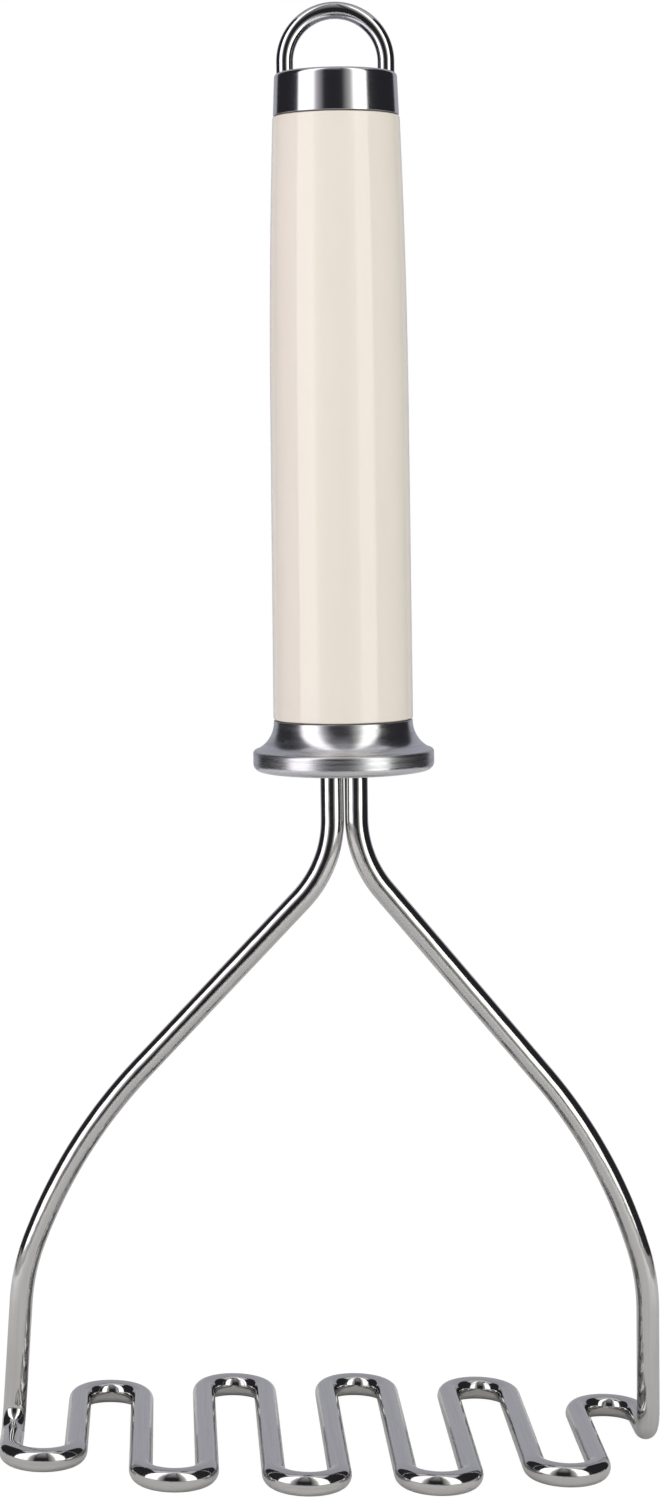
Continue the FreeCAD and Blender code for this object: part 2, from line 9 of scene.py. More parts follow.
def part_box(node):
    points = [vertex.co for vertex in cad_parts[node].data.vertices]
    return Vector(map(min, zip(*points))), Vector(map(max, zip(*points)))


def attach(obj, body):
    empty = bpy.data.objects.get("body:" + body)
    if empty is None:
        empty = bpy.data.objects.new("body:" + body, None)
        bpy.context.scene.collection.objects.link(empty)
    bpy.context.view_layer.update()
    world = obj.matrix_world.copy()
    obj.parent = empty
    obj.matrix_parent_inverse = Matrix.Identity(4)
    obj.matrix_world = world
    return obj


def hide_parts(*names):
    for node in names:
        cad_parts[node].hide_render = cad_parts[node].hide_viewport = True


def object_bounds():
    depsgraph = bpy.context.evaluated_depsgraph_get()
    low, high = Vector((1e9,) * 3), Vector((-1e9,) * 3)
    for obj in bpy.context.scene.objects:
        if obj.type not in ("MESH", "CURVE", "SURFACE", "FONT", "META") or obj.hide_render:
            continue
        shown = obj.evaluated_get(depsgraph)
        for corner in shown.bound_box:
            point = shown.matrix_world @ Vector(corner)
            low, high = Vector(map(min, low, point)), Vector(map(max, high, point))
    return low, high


bl_info = {
    "name": "Wire Masher",
    "version": (1, 0, 0),
    "blender": (4, 5, 0),
    "location": "View3D > Sidebar > Masher",
    "description": "Builds the looks of a wire masher round its packed frame",
    "category": "Add Mesh",
}

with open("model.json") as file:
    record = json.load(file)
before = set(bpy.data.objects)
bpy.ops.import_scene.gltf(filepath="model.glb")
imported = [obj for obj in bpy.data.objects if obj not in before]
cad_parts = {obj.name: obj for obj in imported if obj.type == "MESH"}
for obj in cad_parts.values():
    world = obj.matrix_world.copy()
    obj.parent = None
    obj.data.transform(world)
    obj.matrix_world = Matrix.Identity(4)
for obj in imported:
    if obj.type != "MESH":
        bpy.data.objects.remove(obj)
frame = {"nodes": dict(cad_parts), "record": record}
CAD_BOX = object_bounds()

MM = 0.001
BODY = "root"

# edges that turn by more than this are shaded sharp
SHARP_ANGLE = math.radians(32)
# a point nearer to the handle's axis than this is on it
ON_AXIS = 1e-7


# ------------------------------------------------------------------ places read from the frame

def mount(name):
    """One of the record's mounts."""
    return next(entry for entry in frame["record"]["mounts"] if entry["name"] == name)


# The handle leans a little in the XZ plane. Heights along its axis are counted from the shoulder, where the
# two shanks part.
SHOULDER_LEVEL = 107.5 * MM
AXIS = Vector(mount("grip")["axis"]).normalized()
GRIP_MIDDLE = Vector(mount("grip")["pos_m"])
SHOULDER = GRIP_MIDDLE - AXIS * ((GRIP_MIDDLE.z - SHOULDER_LEVEL) / AXIS.z)
ACROSS = Vector((AXIS.z, 0, -AXIS.x))
HANDLE_PLACE = Matrix((ACROSS, (0, 1, 0), AXIS)).transposed().to_4x4()
HANDLE_PLACE.translation = SHOULDER


def heights(node):
    """A CAD node's lowest and highest places along the handle's axis."""
    along = [(vertex.co - SHOULDER).dot(AXIS) for vertex in frame["nodes"][node].data.vertices]
    return min(along), max(along)


def radii(node):
    """A CAD node's nearest and farthest distances from the handle's axis."""
    away = [(vertex.co - SHOULDER).cross(AXIS).length for vertex in frame["nodes"][node].data.vertices]
    return min(away), max(away)


# ------------------------------------------------------------------ sizes and colours

def length(name, description, millimetres):
    return FloatProperty(name=name, description=description, default=millimetres * MM, min=0,
                         unit="LENGTH", precision=5)


def angle(name, description, degrees):
    return FloatProperty(name=name, description=description, default=math.radians(degrees), unit="ROTATION")


def colour(name, description, *rgb):
    return FloatVectorProperty(name=name, description=description, default=rgb, min=0, max=1,
                               size=3, subtype="COLOR")


def share(name, description, default):
    return FloatProperty(name=name, description=description, default=default, min=0, max=1, subtype="FACTOR")


class MASHER_PG_wire(bpy.types.PropertyGroup):
    diameter: length("Diameter", "The one wire of the head", 4.2)
    shank_gap: length("Shank gap", "Between the two shanks", 0.16)
    shoulder_rise: length("Shoulder rise", "Right shank's bend above the shoulder and left one's below", 0.6)
    shoulder_radius: length("Shoulder radius", "Bend where the shanks part", 21.0)
    knee_height: length("Knee height", "Grid to the knee's corner", 53.45)
    knee_radius: length("Knee radius", "Long bend of each leg", 94.0)
    shin_angle: angle("Shin", "Leg between ankle and knee from upright", 20.0)
    ankle_height: length("Ankle height", "Grid to the corner above the lower leg", 29.8)
    ankle_radius: length("Ankle radius", "Bend there", 40.0)
    splay: angle("Splay", "Lower leg from upright", 2.3)
    elbow_radius: length("Elbow radius", "Bend where a leg turns into the grid", 5.0)
    reach_end: length("End reach", "Middle line to the first and last bends", 18.3)
    reach_second: length("Second reach", "Middle line to the bends beside those", 24.1)
    reach_third: length("Third reach", "Middle line to the third bends", 28.8)
    reach_fourth: length("Fourth reach", "Middle line to the fourth bends", 29.4)
    ring_step: length("Ring step", "Along the wire from one ring of faces to the next", 0.65)
    ring_points: IntProperty(name="Ring points", description="Faces round the wire", default=40, min=8)


class MASHER_PG_handle(bpy.types.PropertyGroup):
    rod_diameter: length("Rod", "Hanging loop's rod", 3.0)
    rim_height: length("Rim height", "Collar's underside to the crease", 3.85)
    rim_lower_round: length("Rim lower round", "Rounding at the collar's underside", 1.4)
    rim_upper_round: length("Rim upper round", "Rounding at the crease", 0.65)
    neck_step: length("Neck step", "Collar's neck inside the grip's edge", 0.05)
    neck_land: length("Neck land", "Straight part above the flare", 0.25)
    flange_recess_radius: length("Flange recess", "Radius of the recess under the collar", 10.45)
    flange_recess_depth: length("Recess depth", "Depth of that recess", 2.25)
    waist_height: length("Waist height", "Grip's lower end to where its taper begins", 55.0)
    waist_diameter: length("Waist", "Grip there", 24.7)
    top_diameter: length("Grip top", "Grip at the cap", 22.5)
    grip_edge_round: length("Grip edge", "Rounding of the grip's two ends", 0.3)
    cap_taper: length("Cap taper", "Loss of radius up the cap", 0.27)
    cap_top_round: length("Cap edge", "Rounding of the cap's top edge", 0.8)
    cap_recess: length("Cap recess", "Depth of the recess that takes the core", 2.0)
    stud_seat: length("Stud seat", "Depth of the stud's hole beyond the recess", 4.25)
    stud_bore: length("Stud bore", "Radius of the stud's hole", 2.55)
    edge_break: length("Edge break", "Rounding of the metal's other edges", 0.12)
    fit_gap: length("Fit gap", "Clearance round a fitted piece", 0.05)
    segments: IntProperty(name="Segments", description="Faces round a turned piece", default=192, min=24)


class MASHER_PG_finish(bpy.types.PropertyGroup):
    wire: colour("Wire", "Polished wire of the head", 0.60, 0.595, 0.59)
    rod: colour("Rod", "Polished rod of the loop", 0.62, 0.62, 0.63)
    turned: colour("Turned metal", "Collar and cap", 0.60, 0.60, 0.63)
    grip: colour("Grip", "Cream plastic", 0.735, 0.678, 0.612)
    core: colour("Core", "Moulded core inside the grip", 0.022, 0.022, 0.024)
    steel: colour("Plain steel", "Sleeve, pin and stud", 0.42, 0.42, 0.43)
    brass: colour("Brass", "Threaded insert", 0.62, 0.40, 0.14)
    # a guessed dark rubber, whose darkness also paints the shadow lines in the seams at the grip's ends
    rubber_and_seam_shade: colour("Rubber", "Seals", 0.13, 0.12, 0.11)
    wire_roughness: share("Wire roughness", "Polish of the wire", 0.08)
    cap_roughness: share("Cap roughness", "Polish of the cap", 0.14)
    flare_roughness: share("Flare roughness", "Polish of the collar's flare", 0.23)
    rim_roughness: share("Rim roughness", "Brushing of the collar's rim", 0.28)
    grip_roughness: share("Grip roughness", "Gloss of the grip", 0.045)


class MASHER_PG_stage(bpy.types.PropertyGroup):
    azimuth: angle("Azimuth", "Camera round the object, from straight in front", -3.11)
    elevation: angle("Elevation", "Camera above the level", 5.28)
    roll: angle("Roll", "Camera turned about its own line of sight", 1.51)
    distance: length("Distance", "Camera to the point it aims at", 577.1)
    aim_height: length("Aim height", "Height of that point", 127.8)
    aim_across: length("Aim across", "That point left of the middle", 3.53)
    focal_length: FloatProperty(name="Focal length", description="Lens on a 36 mm sensor", default=76.93,
                                min=1, unit="CAMERA")
    reach: length("Reach", "Handle to the soft boxes and the backdrop", 420)
    lip: length("Lip", "Height of the floor's turned-up front edge", 40)
    box_top: length("Box top", "Height of the soft boxes", 900)
    box_light: FloatProperty(name="Soft box light", description="Radiance of the soft boxes",
                             default=2.1, min=0)
    spill: share("Spill", "Light just inside a soft box's inner edge, as a share of the box's", 0.3)
    floor_colour: colour("Floor", "Paper that the masher stands on", 0.80, 0.795, 0.785)
    backdrop_colour: colour("Backdrop", "What the metal mirrors behind and above", 0.46, 0.465, 0.51)
    studio_dark: colour("Studio dark", "The unlit part of the studio", 0.026, 0.0255, 0.030)


class MASHER_PG_settings(bpy.types.PropertyGroup):
    wire: PointerProperty(type=MASHER_PG_wire, name="Wire", description="Sizes of the wire head")
    handle: PointerProperty(type=MASHER_PG_handle, name="Handle", description="Sizes of the handle")
    finish: PointerProperty(type=MASHER_PG_finish, name="Finish", description="Colours and polish")
    stage: PointerProperty(type=MASHER_PG_stage, name="Stage", description="Camera, floor and light")


# ------------------------------------------------------------------ node trees

def add_node(tree, kind, inputs=None, **settings):
    """Add a node. inputs holds, by socket name or number, a value or the output to link."""
    made = tree.nodes.new(kind)
    for name, value in settings.items():
        setattr(made, name, value)
    for key, value in (inputs or {}).items():
        if isinstance(value, bpy.types.NodeSocket):
            tree.links.new(value, made.inputs[key])
        else:
            made.inputs[key].default_value = value
    return made


def rod_tree():
    """Geometry nodes that bend a rod along a line of corners.

    Each corner of the line carries its bend radius. The faces keep rod_space, their place on the rod
    as it was before bending: across, across and along.
    """
    tree = bpy.data.node_groups.new("bent_rod", "GeometryNodeTree")
    interface = tree.interface
    interface.new_socket("Geometry", in_out="INPUT", socket_type="NodeSocketGeometry")
    interface.new_socket("Diameter", in_out="INPUT", socket_type="NodeSocketFloat")
    interface.new_socket("Ring Step", in_out="INPUT", socket_type="NodeSocketFloat")
    interface.new_socket("Ring Points", in_out="INPUT", socket_type="NodeSocketInt")
    interface.new_socket("Finish", in_out="INPUT", socket_type="NodeSocketMaterial")
    interface.new_socket("Geometry", in_out="OUTPUT", socket_type="NodeSocketGeometry")
    given = add_node(tree, "NodeGroupInput").outputs

    line = add_node(tree, "GeometryNodeMeshToCurve", {"Mesh": given["Geometry"]})
    bend = add_node(tree, "GeometryNodeInputNamedAttribute", {"Name": "bend_radius"}, data_type="FLOAT")
    rounded = add_node(tree, "GeometryNodeFilletCurve", {
        "Curve": line.outputs[0], "Count": 240, "Radius": bend.outputs["Attribute"], "Limit Radius": True,
    }, mode="POLY")
    even = add_node(tree, "GeometryNodeResampleCurve", {
        "Curve": rounded.outputs[0], "Length": given["Ring Step"],
    }, mode="LENGTH")
    along = add_node(tree, "GeometryNodeSplineParameter")
    marked = add_node(tree, "GeometryNodeStoreNamedAttribute", {
        "Geometry": even.outputs[0], "Name": "along", "Value": along.outputs["Length"],
    }, data_type="FLOAT", domain="POINT")

    half = add_node(tree, "ShaderNodeMath", {0: given["Diameter"], 1: 2.0}, operation="DIVIDE")
    circle = add_node(tree, "GeometryNodeCurvePrimitiveCircle", {
        "Resolution": given["Ring Points"], "Radius": half.outputs[0],
    })
    place = add_node(tree, "GeometryNodeInputPosition")
    section = add_node(tree, "GeometryNodeStoreNamedAttribute", {
        "Geometry": circle.outputs[0], "Name": "section", "Value": place.outputs[0],
    }, data_type="FLOAT_VECTOR", domain="POINT")
    swept = add_node(tree, "GeometryNodeCurveToMesh", {
        "Curve": marked.outputs[0], "Profile Curve": section.outputs[0], "Fill Caps": True,
    })

    across = add_node(tree, "GeometryNodeInputNamedAttribute", {"Name": "section"}, data_type="FLOAT_VECTOR")
    parts = add_node(tree, "ShaderNodeSeparateXYZ", {0: across.outputs["Attribute"]})
    lengthwise = add_node(tree, "GeometryNodeInputNamedAttribute", {"Name": "along"}, data_type="FLOAT")
    space = add_node(tree, "ShaderNodeCombineXYZ", {
        "X": parts.outputs["X"], "Y": parts.outputs["Y"], "Z": lengthwise.outputs["Attribute"],
    })
    kept = add_node(tree, "GeometryNodeStoreNamedAttribute", {
        "Geometry": swept.outputs[0], "Name": "rod_space", "Value": space.outputs[0],
    }, data_type="FLOAT_VECTOR", domain="POINT")
    smooth = add_node(tree, "GeometryNodeSetShadeSmooth", {"Geometry": kept.outputs[0]})
    real = add_node(tree, "GeometryNodeRealizeInstances", {"Geometry": smooth.outputs[0]})
    finished = add_node(tree, "GeometryNodeSetMaterial", {
        "Geometry": real.outputs[0], "Material": given["Finish"],
    })
    add_node(tree, "NodeGroupOutput", {"Geometry": finished.outputs[0]})
    return tree


def new_finish(name, base, roughness, metallic=0.0, **uniform):
    """A material whose uniform values are set on the shader's own sockets."""
    material = bpy.data.materials.new(name)
    material.use_nodes = True
    shader = material.node_tree.nodes["Principled BSDF"]
    shader.inputs["Base Color"].default_value = (*base, 1)
    shader.inputs["Roughness"].default_value = roughness
    shader.inputs["Metallic"].default_value = metallic
    for socket, value in uniform.items():
        shader.inputs[socket.replace("_", " ")].default_value = value
    return material, material.node_tree, shader


def noise(tree, vector, scale, detail=3.0, turn=(0, 0, 0)):
    """Noise with its own scale, in lumps per metre, along each direction of the coordinates given."""
    spread = add_node(tree, "ShaderNodeMapping", {"Vector": vector, "Scale": scale, "Rotation": turn})
    grain = add_node(tree, "ShaderNodeTexNoise", {
        "Vector": spread.outputs[0], "Scale": 1.0, "Detail": detail, "Roughness": 0.55,
    })
    return grain.outputs["Fac"]


# most of a noise lies between these
NOISE_LOW = 0.3
NOISE_HIGH = 0.7


def vary(tree, value, low, high):
    """Stretch a value's middle range to between low and high."""
    return add_node(tree, "ShaderNodeMapRange", {
        "Value": value, "From Min": NOISE_LOW, "From Max": NOISE_HIGH, "To Min": low, "To Max": high,
    }).outputs[0]


def shade(tree, value, base, low, high):
    """The base colour times low where the value is low, and times high where it is high."""
    ends = [tuple(channel * times for channel in base) + (1,) for times in (low, high)]
    mixed = add_node(tree, "ShaderNodeMix", {0: vary(tree, value, 0, 1), 6: ends[0], 7: ends[1]},
                     data_type="RGBA")
    return mixed.outputs[2]


def bump(tree, height, depth, normal=None):
    """Relief of this depth, in metres, on top of an earlier relief."""
    inputs = {"Height": height, "Distance": depth}
    if normal is not None:
        inputs["Normal"] = normal
    return add_node(tree, "ShaderNodeBump", inputs).outputs[0]


def attribute(tree, name):
    return add_node(tree, "ShaderNodeAttribute", attribute_name=name).outputs["Vector"]


def object_space(tree):
    return add_node(tree, "ShaderNodeTexCoord").outputs["Object"]


# ------------------------------------------------------------------ finishes

# Scales of the noises, in lumps per metre: twice across and once along a rod or the handle.
ROD_LINES = (2600, 2600, 55)
ROD_WAVES = (230, 230, 150)
ROD_SPECKS = (5200, 5200, 4200)
GRIP_CLOUD = (70, 70, 26)
GRIP_PEEL = (900, 900, 700)
GRIP_PORES = (4200, 4200, 4200)
MOULD_GRAIN = (3800, 3800, 3800)
MOULD_CLOUD = (220, 220, 220)

# Depths of relief in metres: a rod's waves and its lines, then the rest.
WIRE_RELIEF = (0.09 * MM, 0.004 * MM)
LOOP_RELIEF = (0.008 * MM, 0.0003 * MM)
PEEL_DEPTH = 0.002 * MM
PORE_DEPTH = 0.0003 * MM
METAL_LINE_DEPTH = 6e-6

# A turned piece's depth of line, and how many lines there are in a metre.
TURNED_LINES = (3e-7, 2600)
BRUSHED_LINES = (5e-7, 7000)

# The loop's roughness as a share of the wire's.
LOOP_POLISH = 0.7


def polished_rod(name, base, roughness, wave_depth, grain_depth):
    """Drawn and polished: faint lines along the rod, slow waves that bend what it mirrors, fine specks."""
    material, tree, shader = new_finish(name, base, roughness, metallic=1.0)
    space = attribute(tree, "rod_space")
    lines = noise(tree, space, ROD_LINES)
    waves = noise(tree, space, ROD_WAVES, detail=2.0)
    specks = noise(tree, space, ROD_SPECKS, detail=2.0)
    links = tree.links
    links.new(shade(tree, lines, base, 0.93, 1.05), shader.inputs["Base Color"])
    links.new(vary(tree, specks, roughness * 0.8, roughness * 1.5), shader.inputs["Roughness"])
    relief = bump(tree, waves, wave_depth)
    relief = bump(tree, lines, grain_depth, relief)
    links.new(bump(tree, specks, grain_depth / 12, relief), shader.inputs["Normal"])
    return material


def turned_metal(name, base, roughness, line_depth, line_scale):
    """Turned on a lathe: fine lines round the piece."""
    material, tree, shader = new_finish(name, base, roughness, metallic=1.0)
    space = attribute(tree, "turned_space")
    lines = noise(tree, space, (0.6, 0.6, line_scale))
    coarse = noise(tree, space, (0.9, 0.9, line_scale / 4), detail=2.0)
    links = tree.links
    links.new(shade(tree, lines, base, 0.94, 1.05), shader.inputs["Base Color"])
    links.new(vary(tree, coarse, roughness * 0.8, roughness * 1.3), shader.inputs["Roughness"])
    relief = bump(tree, coarse, line_depth)
    links.new(bump(tree, lines, line_depth, relief), shader.inputs["Normal"])
    return material


def gloss_plastic(name, base, roughness):
    """Glossy moulded plastic: nearly even colour and the slightest orange peel."""
    material, tree, shader = new_finish(name, base, roughness, IOR=1.5)
    space = object_space(tree)
    cloud = noise(tree, space, GRIP_CLOUD, detail=4.0)
    peel = noise(tree, space, GRIP_PEEL, detail=2.0)
    pores = noise(tree, space, GRIP_PORES, detail=2.0)
    links = tree.links
    links.new(shade(tree, cloud, base, 0.985, 1.012), shader.inputs["Base Color"])
    links.new(vary(tree, pores, roughness * 0.85, roughness * 1.4), shader.inputs["Roughness"])
    relief = bump(tree, peel, PEEL_DEPTH)
    links.new(bump(tree, pores, PORE_DEPTH, relief), shader.inputs["Normal"])
    return material


def matt_plastic(name, base, roughness, depth):
    """A moulded surface with a fine spark-eroded grain."""
    material, tree, shader = new_finish(name, base, roughness)
    space = object_space(tree)
    grain = noise(tree, space, MOULD_GRAIN, detail=4.0)
    cloud = noise(tree, space, MOULD_CLOUD)
    links = tree.links
    links.new(shade(tree, cloud, base, 0.8, 1.25), shader.inputs["Base Color"])
    links.new(vary(tree, grain, roughness * 0.85, min(1.0, roughness * 1.2)), shader.inputs["Roughness"])
    links.new(bump(tree, grain, depth), shader.inputs["Normal"])
    return material


def plain_metal(name, base, roughness, scale):
    """Bright metal as it comes from the drawing bench or the lathe, with lines along or round the handle."""
    material, tree, shader = new_finish(name, base, roughness, metallic=1.0)
    lean = (0, -math.asin(-AXIS.x), 0)
    lines = noise(tree, object_space(tree), scale, turn=lean)
    links = tree.links
    links.new(shade(tree, lines, base, 0.85, 1.1), shader.inputs["Base Color"])
    links.new(vary(tree, lines, roughness * 0.8, roughness * 1.4), shader.inputs["Roughness"])
    links.new(bump(tree, lines, METAL_LINE_DEPTH), shader.inputs["Normal"])
    return material


# ------------------------------------------------------------------ meshes

def link_object(name, mesh):
    made = bpy.data.objects.new(name, mesh)
    bpy.context.scene.collection.objects.link(made)
    return made


def keep_result(piece):
    """Turn what a piece's modifiers make into its plain mesh, and drop the modifiers."""
    graph = bpy.context.evaluated_depsgraph_get()
    made = bpy.data.meshes.new_from_object(
        piece.evaluated_get(graph), preserve_all_data_layers=True, depsgraph=graph)
    before = piece.data
    piece.modifiers.clear()
    piece.data = made
    made.name = piece.name
    bpy.data.meshes.remove(before)
    made.set_sharp_from_angle(angle=SHARP_ANGLE)


def bent_rod(name, corners, diameter, step, points, finish):
    """A round rod along corners, each a place and its bend radius."""
    line = bpy.data.meshes.new(name)
    line.from_pydata([place for place, radius in corners],
                     [(index, index + 1) for index in range(len(corners) - 1)], [])
    bend = line.attributes.new("bend_radius", "FLOAT", "POINT")
    bend.data.foreach_set("value", [radius for place, radius in corners])
    piece = link_object(name, line)
    modifier = piece.modifiers.new("Bent rod", "NODES")
    tree = bpy.data.node_groups.get("bent_rod") or rod_tree()
    modifier.node_group = tree
    sockets = {item.name: item.identifier for item in tree.interface.items_tree if item.in_out == "INPUT"}
    modifier[sockets["Diameter"]] = diameter
    modifier[sockets["Ring Step"]] = step
    modifier[sockets["Ring Points"]] = points
    modifier[sockets["Finish"]] = finish
    keep_result(piece)
    return piece


def arc(across, up, radius, start, end, steps=10):
    """Points of an arc in the outline's plane, its angles in degrees."""
    turns = [math.radians(start + (end - start) * step / steps) for step in range(steps + 1)]
    return [(across + radius * math.cos(turn), up + radius * math.sin(turn)) for turn in turns]


def guarded(outline, closed):
    """The outline with a point close to each end of every long straight run, so that the shading of a
    rounded edge doesn't spread along the run."""
    guard = 0.05 * MM
    long_run = 8 * guard
    points = []
    count = len(outline) if closed else len(outline) - 1
    for index in range(count):
        start = Vector(outline[index])
        end = Vector(outline[(index + 1) % len(outline)])
        run = end - start
        points.append(start)
        if run.length > long_run:
            points.append(start + run.normalized() * guard)
            points.append(end - run.normalized() * guard)
    if not closed:
        points.append(Vector(outline[-1]))
    return points


def ring_faces(rings, segments, closed):
    """The faces from each ring to the next, as a fan where a ring is one point on the axis."""
    faces = []
    for lower, upper in zip(rings, rings[1:] + rings[:closed]):
        for step in range(segments):
            after = (step + 1) % segments
            if len(lower) == 1:
                faces.append((lower[0], upper[after], upper[step]))
            elif len(upper) == 1:
                faces.append((lower[step], lower[after], upper[0]))
            else:
                faces.append((lower[step], lower[after], upper[after], upper[step]))
    return faces


def turned(name, outline, base, finish, segments, closed=True):
    """A piece turned round the handle's axis, from an outline of radii and heights above base.

    The outline runs up its outer side. Unless it is closed it starts and ends on the axis.
    """
    points = guarded(outline, closed)
    run = 0.0
    vertices, spaces, rings = [], [], []
    for index, point in enumerate(points):
        if index:
            run += (point - points[index - 1]).length
        on_axis = point.x < ON_AXIS
        ring = []
        for step in range(1 if on_axis else segments):
            # the first meridian is at the back
            turn = math.pi / 2 + 2 * math.pi * step / segments
            away = Vector((math.cos(turn), math.sin(turn), 0))
            ring.append(len(vertices))
            vertices.append(HANDLE_PLACE @ (away * point.x + Vector((0, 0, base + point.y))))
            spaces.extend((away.x, away.y, run))
        rings.append(ring)
    mesh = bpy.data.meshes.new(name)
    mesh.from_pydata(vertices, [], ring_faces(rings, segments, closed))
    space = mesh.attributes.new("turned_space", "FLOAT_VECTOR", "POINT")
    space.data.foreach_set("vector", spaces)
    mesh.materials.append(finish)
    mesh.shade_smooth()
    mesh.set_sharp_from_angle(angle=SHARP_ANGLE)
    return link_object(name, mesh)


def stand_for(piece, node):
    """The piece rides on the body and is shown in place of the CAD node."""
    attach(piece, BODY)
    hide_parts(node)


# ------------------------------------------------------------------ the pieces

def handle_point(across, along):
    """A point in the plane of the legs, across the handle's axis and along it from the shoulder."""
    return SHOULDER + ACROSS * across + AXIS * along


def wire_corners(sizes):
    """The wire's corners and bend radii, from one shank's end to the other's."""
    radius = sizes.diameter / 2
    low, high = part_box("mashing_wire")
    half_grid = high.x - radius
    level = low.z + radius
    reaches = [sizes.reach_end, sizes.reach_second, sizes.reach_third, sizes.reach_fourth, high.y - radius]
    pitch = half_grid / len(reaches)
    ankle_across = half_grid - sizes.ankle_height * math.tan(sizes.splay)
    knee_across = ankle_across - (sizes.knee_height - sizes.ankle_height) * math.tan(sizes.shin_angle)
    half_shanks = (sizes.diameter + sizes.shank_gap) / 2
    shank_top = heights("mashing_wire")[1]
    legs = []
    for side in (-1, 1):
        legs.append([
            (handle_point(side * half_shanks, shank_top), 0.0),
            (handle_point(side * half_shanks, side * sizes.shoulder_rise), sizes.shoulder_radius),
            (Vector((side * knee_across, 0, level + sizes.knee_height)), sizes.knee_radius),
            (Vector((side * ankle_across, 0, level + sizes.ankle_height)), sizes.ankle_radius),
            (Vector((side * half_grid, 0, level)), sizes.elbow_radius),
        ])
    grid = []
    for bend, reach in enumerate(reaches + reaches[::-1]):
        x = bend * pitch - half_grid
        y = reach if bend % 2 else -reach
        grid.append((Vector((x, y, level)), pitch / 2))
        grid.append((Vector((x + pitch, y, level)), pitch / 2))
    return legs[0] + grid + legs[1][::-1]


class MASHER_OT_mashing_wire(bpy.types.Operator):
    """Bend the wire of the head: two shanks, two legs and the flat zigzag grid"""
    bl_idname = "masher.mashing_wire"
    bl_label = "Mashing Wire"

    def execute(self, context):
        sizes = context.scene.masher.wire
        colours = context.scene.masher.finish
        finish = polished_rod("polished_wire", colours.wire, colours.wire_roughness, *WIRE_RELIEF)
        wire = bent_rod("wire_head", wire_corners(sizes), sizes.diameter, sizes.ring_step,
                        sizes.ring_points, finish)
        stand_for(wire, "mashing_wire")
        return {"FINISHED"}


class MASHER_OT_hanging_loop(bpy.types.Operator):
    """Bend the hanging loop: a half circle of rod with two straight feet"""
    bl_idname = "masher.hanging_loop"
    bl_label = "Hanging Loop"

    def execute(self, context):
        masher = context.scene.masher
        diameter = masher.handle.rod_diameter
        foot, crown = heights("hanging_loop")
        half = radii("hanging_loop")[1] - diameter / 2
        bow = crown - diameter / 2
        corners = [
            (handle_point(-half, foot), 0.0),
            (handle_point(-half, bow), half),
            (handle_point(half, bow), half),
            (handle_point(half, foot), 0.0),
        ]
        roughness = masher.finish.wire_roughness * LOOP_POLISH
        finish = polished_rod("polished_loop", masher.finish.rod, roughness, *LOOP_RELIEF)
        loop = bent_rod("loop_rod", corners, diameter, masher.wire.ring_step / 2,
                        masher.wire.ring_points, finish)
        stand_for(loop, "hanging_loop")
        return {"FINISHED"}


class MASHER_OT_collar(bpy.types.Operator):
    """Turn the flared collar with its rounded, brushed rim"""
    bl_idname = "masher.collar"
    bl_label = "Collar"

    def execute(self, context):
        sizes = context.scene.masher.handle
        colours = context.scene.masher.finish
        bottom, top = heights("collar")
        bore = radii("collar")[0]
        rim = radii("collar")[1]
        height = top - bottom
        neck = radii("handle_shell")[1] - sizes.neck_step
        lower = sizes.rim_lower_round
        upper = sizes.rim_upper_round
        flare_top = height - sizes.neck_land
        flare_across = rim - upper - neck
        flare_up = flare_top - sizes.rim_height
        flare = (flare_across ** 2 + flare_up ** 2) / (2 * flare_across)
        sweep = math.degrees(math.asin(flare_up / flare))
        corner = sizes.edge_break
        recess = sizes.flange_recess_radius
        outline = [(recess + corner, 0)]
        outline += arc(rim - lower, lower, lower, -90, 0, steps=14)
        outline += arc(rim - upper, sizes.rim_height - upper, upper, 0, 90, steps=12)
        outline += arc(neck + flare, flare_top, flare, 180 + sweep, 180, steps=40)[1:]
        outline += arc(neck - corner, height - corner, corner, 0, 90, steps=6)
        outline += [(bore, height), (bore, sizes.flange_recess_depth), (recess, sizes.flange_recess_depth)]
        outline += arc(recess + corner, corner, corner, 180, 270, steps=6)[:-1]
        flare_finish = turned_metal("turned_flare", colours.turned, colours.flare_roughness, *TURNED_LINES)
        rim_finish = turned_metal("brushed_rim", colours.turned, colours.rim_roughness, *BRUSHED_LINES)
        collar = turned("flared_collar", outline, bottom, flare_finish, sizes.segments)
        collar.data.materials.append(rim_finish)
        just_under = 0.01 * MM
        crease = bottom + sizes.rim_height - just_under
        for face in collar.data.polygons:
            if (face.center - SHOULDER).dot(AXIS) < crease:
                face.material_index = 1
        stand_for(collar, "collar")
        return {"FINISHED"}


